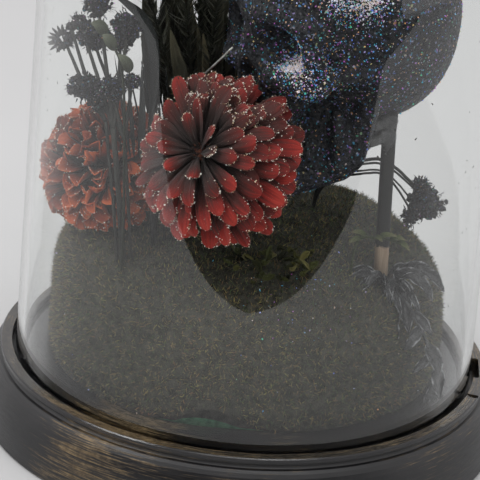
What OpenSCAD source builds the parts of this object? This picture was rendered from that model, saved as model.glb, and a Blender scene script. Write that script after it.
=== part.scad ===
// Display cloche: a lift-off glass dome on a turned base, over a glued Halloween arrangement.
// Millimetres, +Z up, origin at the centre of the base's underside, front is -Y.

/* [Glass dome] */
// Outside radius of the glass
glass_r = 100; // [95:0.5:100.5]
// Wall thickness of the glass
glass_wall = 3.5; // [2.5:0.1:4.5]
// Height of the whole product, from the table to the crown
total_h = 305; // [295:1:340]

/* [Base] */
// Height of the base at its rim
base_h = 32.5; // [26:0.5:45]
// Outside radius of the rim's lip
rim_r = 106.7; // [106:0.1:108]
// Width of the flat band on top of the rim
rim_band = 4.95; // [4.9:0.01:5.2]
// Radius of the base where it stands on the table
foot_r = 113.4; // [112:0.2:120]
// Depth of the groove that the glass stands in
groove_depth = 6; // [4:0.5:10]

/* [Mound] */
// Radius of the turf mound
mound_r = 85.5; // [80:0.5:85.5]
// Height of the mound above the deck
mound_h = 63; // [60:1:65]
// Thickness of the flocked turf over the foam
turf_t = 3; // [2:0.5:4]

/* [Skull] */
// Radius of the braincase
skull_r = 41; // [39:0.5:42]
// Direction that the skull faces, counted from +X
skull_yaw = 215; // [205:1:225]
// Radius of the post under the skull
post_r = 3; // [2.5:0.1:3.5]

/* [Flowers] */
// Radius of the front zinnia
zinnia_r = 36.5; // [32:0.5:37]
// Radius of the left flower
mum_r = 30; // [26:0.5:30]

/* [Hidden] */
$fn = 64;

// Glass and base levels
deck_z = base_h - 1.5;
groove_z = base_h - groove_depth;
groove_out = rim_r - rim_band;
groove_in = glass_r - glass_wall - 1.5;
glass_z = groove_z + 0.3;
crown_z = total_h - glass_r;

// Mound
mound_c = [-1, 7, deck_z];
turf_lift = 1.5;
mound_power = 4;
mound_steps = 24;
foam_r = mound_r - turf_t;
foam_h = mound_h - turf_t;

// Skull and its post
skull_c = [31, -7, 198];
post_foot = [56.4, -18, 60];
post_top = [52.4, -18, 163];

// Flowers: centre of the back petals and the direction that the flower faces
zinnia_c = [-18, -58, 143.5];
zinnia_tilt = [0, 62, 241];
mum_c = [-64, -2, 113];
mum_tilt = [0, 58, 243];

// Level that planted stems reach inside the foam
root_z = 70;

// ---------- shared shapes ----------

// A straight round rod from p to q
module rod(p, q, r1, r2) {
    d = q - p;
    len = norm(d);
    translate(p)
        rotate([0, acos(d[2] / len), atan2(d[1], d[0])])
            cylinder(h = len, r1 = r1, r2 = r2, $fn = 24);
}

// A bent stem: rods through a list of points with a knuckle at each bend
module stem(pts, r) {
    for (i = [0 : len(pts) - 2]) {
        rod(pts[i], pts[i + 1], r, r);
        if (i > 0) knuckle(pts[i], r);
    }
}

// A ball a little thicker than the stem that bends or forks there
module knuckle(p, r) {
    translate(p) sphere(r = r * 1.3, $fn = 24);
}

// One dried flower head: a turned button with a domed top and a ridge round it
module umbel_head(c, r) {
    translate(c)
        rotate_extrude($fn = 48)
            polygon([
                [0, -r * 0.55], [r * 0.4, -r * 0.5], [r * 0.85, -r * 0.2], [r * 0.98, 0.05 * r],
                [r * 0.9, r * 0.3], [r * 0.6, r * 0.55], [r * 0.3, r * 0.66], [0, r * 0.7]
            ]);
}

// A spray: one root stem, then a branch to each head
module spray(root, fork, heads, r) {
    rod(root, fork, r, r);
    knuckle(fork, r);
    for (h = heads) {
        rod(fork, [h[0], h[1], h[2]], r * 0.8, r * 0.8);
        umbel_head([h[0], h[1], h[2]], h[3]);
    }
}

// Outline of a leaf of given length and width, pointing along +X
module leaf_outline(len, w) {
    r = (len * len / 4 + w * w / 4) / w;
    translate([len / 2, 0])
        intersection() {
            translate([0, r - w / 2]) circle(r = r);
            translate([0, w / 2 - r]) circle(r = r);
        }
}

// One flat leaf with its foot at p, turned by rot
module leaf(p, rot, len, w, t) {
    translate(p) rotate(rot) linear_extrude(t) leaf_outline(len, w);
}

// Profile of a flat-topped round hill
function hill(r, h) = [
    for (i = [0 : mound_steps])
        let (a = 90 * i / mound_steps)
            [r * pow(cos(a), 2 / mound_power), h * pow(sin(a), 2 / mound_power)]
];

// Outline of a ring of petals
module petal_ring(r, count) {
    tip = r * sin(180 / count) * 1.25;
    circle(r = r * 0.66);
    for (k = [0 : count - 1])
        rotate(360 * k / count) {
            translate([r - tip, 0]) circle(r = tip);
            translate([0, -tip * 0.8]) square([r - tip, tip * 1.6]);
        }
}

// One layer of petals: a thin dish cut to a ring of petals
module petal_layer(r, count, z_in, z_out, turn) {
    hub_r = 3;
    t = 1.4;
    intersection() {
        rotate_extrude()
            polygon([[hub_r, z_in], [r * 0.7, z_in * 0.35 + z_out * 0.65], [r, z_out],
                     [r, z_out + t], [r * 0.7, z_in * 0.35 + z_out * 0.65 + t], [hub_r, z_in + t]]);
        rotate(turn)
            translate([0, 0, min(z_in, z_out) - 1])
                linear_extrude(abs(z_out - z_in) + t + 2)
                    petal_ring(r, count);
    }
}

// The flower's own frame: +Z is the way it faces
module in_zinnia() { translate(zinnia_c) rotate(zinnia_tilt) children(); }
module in_mum() { translate(mum_c) rotate(mum_tilt) children(); }

// The cup behind a flower
module calyx(r, h) {
    rotate_extrude()
        polygon([[0, -h - 1], [r * 0.35, -h - 1], [r * 0.7, -h * 0.6], [r, -1.6], [0, -1.6]]);
}

// The eye of a flower, with the peg that carries the petal layers
module eye(r, z) {
    cylinder(r = 2.8, h = z, $fn = 32);
    translate([0, 0, z])
        intersection() {
            sphere(r = r);
            cylinder(r = r + 1, h = r + 1);
        }
}

// ---------- base and glass ----------

module base_plinth() {
    lip_z = base_h - 2.4;
    color([0.09, 0.085, 0.08])
        difference() {
            rotate_extrude($fn = 96)
                polygon([
                    [0, 0], [foot_r - 1, 0], [foot_r, 1.2], [foot_r, 6],
                    for (a = [10 : 10 : 80])
                        [rim_r - 0.6 + (foot_r - rim_r + 0.6) * cos(a), 6 + (lip_z - 8.4) * sin(a)],
                    [rim_r - 0.6, lip_z - 2.4], [rim_r - 1.6, lip_z - 1.2], [rim_r - 1.6, lip_z],
                    [rim_r, lip_z + 0.5], [rim_r, base_h - 0.5], [rim_r - 0.5, base_h],
                    [groove_out, base_h], [groove_out, groove_z], [groove_in, groove_z],
                    [groove_in, deck_z], [0, deck_z]
                ]);
            cord_notch();
            rim_dent();
        }
}

// Slot through the rim's inner edge at three o'clock
module cord_notch() {
    slot_w = 3.2;
    slot_len = 20;
    slot_r = groove_out + 0.5;
    for (s = [-1, 1])
        translate([slot_r, s * (slot_len - slot_w) / 2, groove_z])
            cylinder(r = slot_w / 2, h = groove_depth + 1, $fn = 32);
    translate([slot_r - slot_w / 2, -(slot_len - slot_w) / 2, groove_z])
        cube([slot_w, slot_len - slot_w, groove_depth + 1]);
}

// Shallow worn dent beside the slot
module rim_dent() {
    rotate(-16)
        translate([rim_r - 2.3, 0, base_h + 7.2])
            rotate([90, 0, 0])
                translate([0, 0, -1.6])
                    cylinder(r = 8, h = 3.2, $fn = 48);
}

module glass_dome() {
    color([0.82, 0.86, 0.86, 0.35])
        difference() {
            union() {
                translate([0, 0, glass_z]) cylinder(r = glass_r, h = crown_z - glass_z, $fn = 128);
                translate([0, 0, crown_z]) sphere(r = glass_r, $fn = 128);
            }
            translate([0, 0, glass_z - 1])
                cylinder(r = glass_r - glass_wall, h = crown_z - glass_z + 1, $fn = 128);
            translate([0, 0, crown_z]) sphere(r = glass_r - glass_wall, $fn = 128);
        }
}

// ---------- mound ----------

module mound_foam() {
    color([0.16, 0.24, 0.13])
        translate(mound_c) {
            cylinder(r = foam_r, h = turf_lift, $fn = 96);
            translate([0, 0, turf_lift])
                rotate_extrude($fn = 96)
                    polygon(concat([[0, 0]], hill(foam_r, foam_h - turf_lift)));
        }
}

module mound_turf() {
    inner = hill(foam_r, foam_h - turf_lift);
    outer = hill(mound_r, mound_h - turf_lift);
    back = [for (i = [mound_steps : -1 : 0]) inner[i]];
    color([0.17, 0.15, 0.09])
        translate(mound_c + [0, 0, turf_lift])
            rotate_extrude($fn = 96)
                polygon(concat(outer, back));
}

// ---------- skull ----------

module in_skull() { translate(skull_c) rotate([0, 0, skull_yaw]) children(); }

module skull_post() {
    color([0.07, 0.06, 0.05]) rod(post_foot, post_top, post_r, post_r);
}

// Braincase, skull base and upper face, without the eye and nose hollows
module head_mass() {
    translate([-9, 0, 0]) sphere(r = skull_r);
    translate([8, 0, 2]) sphere(r = skull_r - 2);
    translate([-7, 0, -15]) sphere(r = skull_r * 0.81);
    rod([20, 0, -6], [38, 0, -56], 27, 14.5);
}

module skull_cranium() {
    color([0.05, 0.05, 0.06])
        in_skull()
            difference() {
                head_mass();
                for (s = [-1, 1]) translate([47, 17 * s, -17]) sphere(r = 11);
                translate([52, 0, -34]) sphere(r = 7);
            }
}

// The jaw is a solid block that fits up against the head, with a rounded chin
module skull_mandible() {
    color([0.05, 0.05, 0.06])
        in_skull()
            difference() {
                union() {
                    rod([3, 0, -46], [38, 0, -66], 27, 15);
                    rod([39, -7, -71], [39, 7, -71], 8, 8);
                }
                head_mass();
            }
}

// Web of hot glue between the jaw and the post, with a gap beside the post
module glue_web() {
    color([0.75, 0.74, 0.68])
        difference() {
            hull() {
                translate([44.3, -26.3, 148]) sphere(r = 2.2, $fn = 24);
                translate([52.8, -18, 134]) sphere(r = 2, $fn = 24);
                translate([52.6, -18, 151]) sphere(r = 3.4, $fn = 24);
            }
            rod(post_foot, post_top, post_r, post_r);
        }
}

// ---------- front zinnia ----------

module zinnia_stem() {
    color([0.12, 0.16, 0.07])
        stem([[-6, -34, root_z], [-6, -36, 112], zinnia_c + [3.9, 7.1, -4.3]], 1.6);
}

module zinnia_calyx() { color([0.10, 0.13, 0.06]) in_zinnia() calyx(12, 8); }
module zinnia_petals_back() {
    color([0.30, 0.045, 0.04]) in_zinnia() petal_layer(zinnia_r, 16, 1, -1.5, 0);
}
module zinnia_petals_mid() {
    color([0.36, 0.05, 0.045]) in_zinnia() petal_layer(zinnia_r * 0.84, 14, 4, 6, 11);
}
module zinnia_petals_front() {
    color([0.42, 0.06, 0.05]) in_zinnia() petal_layer(zinnia_r * 0.6, 11, 7, 13, 5);
}
module zinnia_eye() { color([0.20, 0.03, 0.03]) in_zinnia() eye(6, 10.5); }

// ---------- left flower ----------

module mum_stem() {
    color([0.12, 0.16, 0.07])
        stem([[-44, 6, root_z], [-46, 6, 98], mum_c + [4.6, 4.2, -3.6]], 1.6);
}

module mum_calyx() { color([0.10, 0.13, 0.06]) in_mum() calyx(9, 6); }
module mum_petals_back() {
    color([0.55, 0.12, 0.05]) in_mum() petal_layer(mum_r, 14, 1, -1, 0);
}
module mum_petals_mid() {
    color([0.60, 0.14, 0.06]) in_mum() petal_layer(mum_r * 0.86, 12, 4, 6, 9);
}
module mum_petals_front() {
    color([0.62, 0.16, 0.07]) in_mum() petal_layer(mum_r * 0.62, 9, 7, 12, 4);
}
module mum_eye() { color([0.40, 0.08, 0.04]) in_mum() eye(4.5, 10); }

// ---------- dried sprays ----------

// A small head sits on the main branch below the end head
module umbel_spray_outer() {
    color([0.05, 0.05, 0.05]) {
        spray([-58, -40, root_z], [-65, -36, 140], [[-86, -6, 171, 7]], 1.1);
        umbel_head([-75.7, -20.8, 155.7], 6.3);
    }
}

module umbel_spray_upper() {
    side = [-65.6, -27.9, 159.4];
    color([0.05, 0.05, 0.05]) {
        spray([-52, -42, root_z], [-60, -38, 144],
              [[-76, -9, 188, 7.2], [-61, -19, 182, 6.2]], 1.1);
        knuckle(side, 0.9);
        rod(side, [-73, -15, 171], 0.8, 0.8);
        umbel_head([-73, -15, 171], 6);
    }
}

module umbel_spray_lower() {
    color([0.05, 0.05, 0.05])
        spray([-47, -40, root_z], [-56, -38, 142], [[-61, -37, 158, 5], [-47, -22, 177, 5.5]], 1.1);
}

module umbel_spray_right() {
    color([0.05, 0.05, 0.05]) {
        stem([[36, 26, root_z], [40, 22, 118], [54, 14, 121], [67, 6, 110]], 1.1);
        umbel_head([67, 5, 108], 9);
        rod([67, 5, 108], [69, 8, 98], 1, 1);
        umbel_head([69, 8, 98], 6);
    }
}

module olive_leaves() {
    color([0.24, 0.27, 0.16]) {
        rod([-53, -48, root_z], [-62, -42, 171], 0.8, 0.8);
        leaf([-62, -42, 170], [70, 10, 150], 11, 6, 0.8);
        leaf([-61.6, -42.3, 163], [60, 0, 30], 11, 6, 0.8);
        leaf([-60.2, -43.2, 150], [80, -20, 350], 12, 6, 0.8);
    }
}

module grass_blades() {
    color([0.05, 0.06, 0.05])
        for (k = [0 : 5])
            rod([-46 + 1.5 * k, -33, root_z], [-58 + 4 * k, -24 + 2 * k, 168 + 3 * (k % 3)], 1, 0.5);
}

// A bunch of needle sprigs, each a stem with a soft spindle of needles
module needle_foliage() {
    color([0.07, 0.08, 0.05])
        for (k = [0 : 4]) {
            foot = [-28 + 3 * k, 12, root_z];
            tip = [-56 + 8 * k, -11 + 8 * (k % 2), 216 - 5 * abs(k - 2)];
            rod(foot, tip, 1.2, 0.8);
            rod(foot + 0.55 * (tip - foot), foot + 0.8 * (tip - foot), 2, 4.5);
            rod(foot + 0.8 * (tip - foot), tip, 4.5, 1);
        }
}

module silver_twig() {
    color([0.55, 0.55, 0.53]) rod([-31, -22, root_z], [-13, -33, 181], 0.9, 0.7);
}

// ---------- plants at the foot of the post ----------

module foot_leaves() {
    hub = [57.4, -25.6, 90.6];
    color([0.04, 0.04, 0.045]) {
        translate(hub) cylinder(r = 3, h = 3, $fn = 32);
        for (k = [0 : 3])
            leaf(hub + [0, 0, 1.4], [0, 12, 200 + 61 * k], 29 + k % 2, 7, 0.9);
    }
}

module foot_vine() {
    color([0.04, 0.04, 0.045]) {
        stem([[58, -28, 91], [69, -39, 84], [77, -45, 66], [80, -46, 48], [81, -44, 33]], 0.9);
        leaf([77, -45, 66], [0, 70, 340], 12, 5, 0.8);
        leaf([80, -46, 50], [0, 75, 300], 12, 5, 0.8);
    }
}

module green_sprig() {
    color([0.16, 0.24, 0.12]) {
        rod([42, -31, root_z + 10], [43, -31, 104], 0.7, 0.7);
        rod([43, -31, 104], [63, -27, 101], 0.7, 0.4);
        leaf([52, -30, 102.6], [40, 0, 10], 11, 5, 0.7);
    }
}

// Loose leaf bits glued on the turf in front of the skull
module leaf_litter() {
    top_z = deck_z + mound_h + 0.4;
    color([0.30, 0.36, 0.16])
        for (k = [0 : 6])
            leaf([2 + 5 * (k % 4), -50 + 7 * floor(k / 3), top_z - 3], [0, -5, 50 * k], 10, 4.5, 0.8);
}

base_plinth();
glass_dome();
mound_foam();
mound_turf();
skull_post();
skull_cranium();
skull_mandible();
glue_web();
zinnia_stem();
zinnia_calyx();
zinnia_petals_back();
zinnia_petals_mid();
zinnia_petals_front();
zinnia_eye();
mum_stem();
mum_calyx();
mum_petals_back();
mum_petals_mid();
mum_petals_front();
mum_eye();
umbel_spray_outer();
umbel_spray_upper();
umbel_spray_lower();
umbel_spray_right();
olive_leaves();
grass_blades();
needle_foliage();
silver_twig();
foot_leaves();
foot_vine();
green_sprig();
leaf_litter();
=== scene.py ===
"""Looks of the Halloween display cloche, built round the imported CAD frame.

Lengths are in mm until a mesh is built.
"""

import math

import bmesh
import bpy
import numpy as np
from mathutils import Matrix, Vector


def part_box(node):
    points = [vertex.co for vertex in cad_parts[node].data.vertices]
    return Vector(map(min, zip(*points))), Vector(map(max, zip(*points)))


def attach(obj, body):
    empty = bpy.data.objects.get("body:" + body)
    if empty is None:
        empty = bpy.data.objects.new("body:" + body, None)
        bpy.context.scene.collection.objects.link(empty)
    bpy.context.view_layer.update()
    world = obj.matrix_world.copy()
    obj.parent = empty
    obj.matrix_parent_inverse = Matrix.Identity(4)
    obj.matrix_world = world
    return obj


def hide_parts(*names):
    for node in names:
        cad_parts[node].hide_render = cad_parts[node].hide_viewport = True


MM = 0.001
UP = np.array([0.0, 0.0, 1.0])

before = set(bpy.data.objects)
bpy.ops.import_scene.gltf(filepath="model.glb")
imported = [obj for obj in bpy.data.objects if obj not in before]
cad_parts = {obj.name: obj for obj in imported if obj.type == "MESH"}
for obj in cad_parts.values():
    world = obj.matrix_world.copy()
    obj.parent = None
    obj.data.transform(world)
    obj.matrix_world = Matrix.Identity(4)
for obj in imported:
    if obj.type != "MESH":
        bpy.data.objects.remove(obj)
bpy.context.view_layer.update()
scene = bpy.context.scene


# ---------- facts of the CAD model, in mm ----------

GLASS_R, GLASS_WALL = 100.0, 3.5
GOLD_AZIMUTH, GOLD_SPREAD = -118.0, 24.0
RIM_R = 106.7
RIM_CHAMFER_FROM, RIM_CHAMFER_TO = RIM_R - 0.62, RIM_R - 0.48
GLASS_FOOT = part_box("glass_dome")[0].z / MM
GLASS_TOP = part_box("glass_dome")[1].z / MM
GLASS_CROWN = GLASS_TOP - GLASS_R
RIM_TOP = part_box("base_plinth")[1].z / MM
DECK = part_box("mound_foam")[0].z / MM
MOUND = np.array([-1.0, 7.0, DECK])
MOUND_R, MOUND_H = 85.5, 63.0
SKULL = np.array([31.0, -7.0, 198.0])
SKULL_YAW = 215.0
ZINNIA, ZINNIA_TILT = np.array([-18.0, -58.0, 143.5]) + [-1.5, 0, 1.6], (62.0, 230.0)
MUM, MUM_TILT = np.array([-64.0, -2.0, 113.0]) + [-1.6, -1.5, 2], (58.0, 236.0)
POST_DIP, POST_DIP_R = 8.5, 24.0
BARE_AZIMUTH, BARE_SPREAD, BARE_HEIGHT = -97.0, 9.0, 8.5
POST_FOOT, POST_TOP = np.array([56.4, -18.0, 60.0]), np.array([52.4, -18.0, 163.0])


# ---------- geometry helpers ----------


class Soup:
    """The geometry of one piece in mm: points, faces, and three numbers a point that its material reads."""

    def __init__(self):
        self.points, self.faces, self.count = [], [], 0
        self.numbers = {"tone": [], "seed": [], "side": []}

    def add(self, points, *faces, **numbers):
        points = np.asarray(points, float).reshape(-1, 3)
        for group in faces:
            if isinstance(group, np.ndarray):
                self.faces.extend((group + self.count).tolist())
            else:
                self.faces.extend([[i + self.count for i in face] for face in group])
        self.points.append(points)
        for label, values in self.numbers.items():
            values.append(np.broadcast_to(numbers.get(label, 0.0), len(points)))
        self.count += len(points)

    def build(self, name, material, slot, body="base", smooth=True, replaces=(), thick=0.0, fine=0):
        mesh = bpy.data.meshes.new(name)
        mesh.from_pydata((np.concatenate(self.points) * MM).tolist(), [], self.faces)
        for label, values in self.numbers.items():
            layer = mesh.attributes.new(label, "FLOAT", "POINT")
            layer.data.foreach_set("value", np.concatenate(values).astype(np.float32))
        mesh.polygons.foreach_set("use_smooth", [smooth] * len(mesh.polygons))
        mesh.materials.append(material)
        piece = bpy.data.objects.new(name, mesh)
        scene.collection.objects.link(piece)
        if thick:
            sheet = piece.modifiers.new("thickness", "SOLIDIFY")
            sheet.thickness, sheet.offset = thick * MM, 0
        if fine:
            piece.modifiers.new("smooth", "SUBSURF").render_levels = fine
        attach(piece, body)
        if replaces:
            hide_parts(*replaces)
        return piece


def unit(v):
    v = np.asarray(v, float)
    return v / np.linalg.norm(v, axis=-1, keepdims=True)


def across(way):
    """Unit vectors square to each way, as level as they can be."""
    way = np.asarray(way, float)
    side = np.cross(way, UP)
    flat = np.linalg.norm(side, axis=-1, keepdims=True) < 1e-3
    return unit(np.where(flat, [1.0, 0.0, 0.0], side))


def flower_axes(tilt):
    """Columns: the flower's own X, Y and facing directions, as rotate([0, polar, azimuth]) turns them."""
    polar, azimuth = (math.radians(a) for a in tilt)
    turn = Matrix.Rotation(azimuth, 3, "Z") @ Matrix.Rotation(polar, 3, "Y")
    return np.array(turn)


def curve(points, count):
    """A smooth run of points through the given ones."""
    points = np.asarray(points, float)
    t = np.linspace(0, len(points) - 1, count)
    i = np.minimum(t.astype(int), len(points) - 2)
    u = (t - i)[:, None]
    slope = np.gradient(points, axis=0)
    return (
        (2 * u**3 - 3 * u**2 + 1) * points[i]
        + (u**3 - 2 * u**2 + u) * slope[i]
        + (3 * u**2 - 2 * u**3) * points[i + 1]
        + (u**3 - u**2) * slope[i + 1]
    )


def ring_angles(sides):
    return np.arange(sides) * 2 * math.pi / sides


def ring_faces(rows, sides):
    """Quads between neighbouring rings of points, and the caps on the first and last ring."""
    i, j = np.arange(rows - 1)[:, None] * sides, np.arange(sides)[None]
    k = (j + 1) % sides
    quads = np.stack([i + j, i + k, i + sides + k, i + sides + j], -1).reshape(-1, 4)
    return quads, [list(range(sides))[::-1], list(range((rows - 1) * sides, rows * sides))]


def tube(points, radii, sides=8):
    """A round tube along points, closed at both ends."""
    points = np.asarray(points, float)
    radii = np.broadcast_to(np.asarray(radii, float), len(points))
    ways = unit(np.gradient(points, axis=0))
    normal = across(ways[0])
    cosine, sine = np.cos(ring_angles(sides)), np.sin(ring_angles(sides))
    rings = []
    for point, way, radius in zip(points, ways, radii):
        normal = unit(normal - way * (normal @ way))
        rings.append(point + radius * (np.outer(cosine, normal) + np.outer(sine, np.cross(way, normal))))
    return np.concatenate(rings), *ring_faces(len(points), sides)


def ball(detail):
    """Points and triangles of a unit ball."""
    work = bmesh.new()
    bmesh.ops.create_icosphere(work, subdivisions=detail, radius=1)
    work.verts.ensure_lookup_table()
    points = np.array([v.co for v in work.verts])
    faces = np.array([[v.index for v in f.verts] for f in work.faces])
    work.free()
    return points, faces


BALL = {1: ball(1), 2: ball(2)}
GRAIN = (
    np.array([[1, 0, 0], [-1, 0, 0], [0, 1, 0], [0, -1, 0], [0, 0, 0.4], [0, 0, -0.4]], float),
    np.array([[0, 2, 4], [2, 1, 4], [1, 3, 4], [3, 0, 4], [2, 0, 5], [1, 2, 5], [3, 1, 5], [0, 3, 5]]),
)


def copies(shape, centres, sizes, rng=None, rough=0.0, stretch=(1, 1, 1)):
    """Many copies of a small closed shape. With rng each is turned at random and its points are roughened."""
    points, faces = shape
    centres = np.asarray(centres, float)
    n = len(centres)
    local = np.broadcast_to(points * stretch, (n, len(points), 3)).copy()
    if rng is not None:
        turn = np.linalg.qr(rng.normal(size=(n, 3, 3)))[0]
        local = np.einsum("nij,npj->npi", turn, local)
        local *= 1 + rough * rng.uniform(-1, 1, (n, len(points), 1))
    local = local * np.broadcast_to(sizes, n)[:, None, None] + centres[:, None]
    index = faces[None] + (np.arange(n) * len(points))[:, None, None]
    return local.reshape(-1, 3), index.reshape(-1, faces.shape[1])


def blades(roots, ways, sides, lengths, widths, bend):
    """Thin bent blades: a quad and a pointed tip each."""
    lengths, half = lengths[:, None], sides * widths[:, None] / 2
    middle = roots + ways * lengths * 0.55 + bend * lengths * 0.12
    tip = roots + ways * lengths + bend * lengths * 0.45
    points = np.stack([roots - half, roots + half, middle + half * 0.8, middle - half * 0.8, tip], 1)
    start = (np.arange(len(roots)) * 5)[:, None]
    return points.reshape(-1, 3), start + np.array([[0, 1, 2, 3]]), start + np.array([[3, 2, 4]])


def grid_faces(rows, cols):
    i, j = np.arange(rows - 1)[:, None] * cols, np.arange(cols - 1)[None]
    return np.stack([i + j, i + j + 1, i + cols + j + 1, i + cols + j], -1).reshape(-1, 4)


def ribbon(line, widths, face, cup=0.0, rough=0.0, rng=None, cols=7):
    """A long leaf along a line, its upper side towards face: points, faces, share along and across it."""
    line = np.asarray(line, float)
    ways = unit(np.gradient(line, axis=0))
    side = unit(np.cross(ways, face))
    lift = np.cross(side, ways)
    t = np.linspace(-1, 1, cols)
    half = np.broadcast_to(widths, len(line))[:, None] / 2
    aside, raised = half * t, cup * half * t**2
    points = line[:, None] + side[:, None] * aside[..., None] + lift[:, None] * raised[..., None]
    if rough:
        points = points + rng.normal(size=points.shape) * (rough * half)[..., None]
    share = np.repeat(np.linspace(0, 1, len(line)), cols)
    return points.reshape(-1, 3), grid_faces(len(line), cols), share, np.tile(t, len(line))


def flakes(name, look, slot, places, sizes, rng, tone):
    """Glitter: a small grain at each place. tone is an array, or a function that draws one afterwards."""
    points, faces = copies(GRAIN, places, sizes, rng)
    soup = Soup()
    soup.add(points, faces, tone=np.repeat(tone() if callable(tone) else tone, len(GRAIN[0])))
    soup.build(name, look, slot, smooth=False)


def leaf_widths(count, width):
    s = np.linspace(0, 1, count)
    return width * np.maximum(np.sin(math.pi * s**0.75) ** 0.8, 0.05)


def nearness(points, centre, reach):
    """1 at centre, fading to 0 over about twice reach."""
    return np.exp(-((np.linalg.norm(points - centre, axis=1) / reach) ** 2))


def scatter(points, faces, count, rng, weight=None):
    """Random places on a mesh of quads or triangles, and the normals there."""
    tris = faces if faces.shape[1] == 3 else np.concatenate([faces[:, [0, 1, 2]], faces[:, [0, 2, 3]]])
    a, b, c = (points[tris[:, k]] for k in range(3))
    cross = np.cross(b - a, c - a)
    area = np.linalg.norm(cross, axis=1)
    share = area * (1 if weight is None else weight((a + b + c) / 3))
    pick = rng.choice(len(tris), count, p=share / share.sum())
    u, v = rng.random((2, count, 1))
    over = u + v > 1
    u, v = np.where(over, 1 - u, u), np.where(over, 1 - v, v)
    return a[pick] + u * (b - a)[pick] + v * (c - a)[pick], cross[pick] / area[pick, None]


# ---------- blended solids, meshed from a distance field ----------


def blend_in(field, other, soft):
    """Smooth union of two distance fields."""
    h = np.clip(0.5 + 0.5 * (field - other) / soft, 0, 1)
    return field * (1 - h) + other * h - soft * h * (1 - h)


def cut_out(field, other, soft):
    """Smooth removal of one distance field from another."""
    return -blend_in(-field, other, soft)


def egg(p, centre, radii):
    q = p - np.array(centre, np.float32)
    r = np.array(radii, np.float32)
    k0 = np.linalg.norm(q / r, axis=-1)
    k1 = np.linalg.norm(q / r**2, axis=-1) + 1e-6
    return k0 * (k0 - 1) / k1


def bone(p, a, b, ra, rb):
    a, b = np.array(a, np.float32), np.array(b, np.float32)
    h = np.clip(((p - a) @ (b - a)) / ((b - a) @ (b - a)), 0, 1)
    return np.linalg.norm(p - a - h[..., None] * (b - a), axis=-1) - (ra + h * (rb - ra))


def grid(low, high, step):
    axes = [np.arange(a, b, step, dtype=np.float32) for a, b in zip(low, high)]
    return np.stack(np.meshgrid(*axes, indexing="ij"), -1)


def surface_net(field, low, step):
    """Mesh of field = 0: a point in each grid cell the surface crosses, a quad across each crossed edge."""
    cells = tuple(n - 1 for n in field.shape)
    total, hits = np.zeros(cells + (3,), np.float32), np.zeros(cells, np.float32)

    def part(corner):
        return field[tuple(slice(at, at + size) for at, size in zip(corner, cells))]

    for corner in np.ndindex(2, 2, 2):
        for axis in range(3):
            if corner[axis]:
                continue
            other = [c + (k == axis) for k, c in enumerate(corner)]
            fa, fb = part(corner), part(other)
            crossed = (fa < 0) != (fb < 0)
            t = np.where(crossed, fa / np.where(crossed, fa - fb, 1), 0)
            spot = np.broadcast_to(np.array(corner, np.float32), cells + (3,)).copy()
            spot[..., axis] += t
            total += spot * crossed[..., None]
            hits += crossed
    active = hits > 0
    index = np.full(cells, -1)
    index[active] = np.arange(active.sum())
    points = np.asarray(low) + step * (np.argwhere(active) + total[active] / hits[active][:, None])
    quads = []
    for axis in range(3):
        u, v = (axis + 1) % 3, (axis + 2) % 3
        near = [slice(None)] * 3
        far = [slice(None)] * 3
        near[axis], far[axis] = slice(0, -1), slice(1, None)
        inside = field < 0
        at = np.argwhere(inside[tuple(near)] != inside[tuple(far)])
        at = at[(at[:, u] > 0) & (at[:, v] > 0) & (at[:, u] < cells[u]) & (at[:, v] < cells[v])]
        eu, ev = np.eye(3, dtype=int)[u], np.eye(3, dtype=int)[v]
        ring = np.stack([index[tuple((at - d).T)] for d in (0 * eu, eu, eu + ev, ev)], 1)
        flip = ~inside[tuple(at.T)]
        ring[flip] = ring[flip][:, ::-1]
        quads.append(ring)
    return points, np.concatenate(quads)


# ---------- materials ----------


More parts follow.
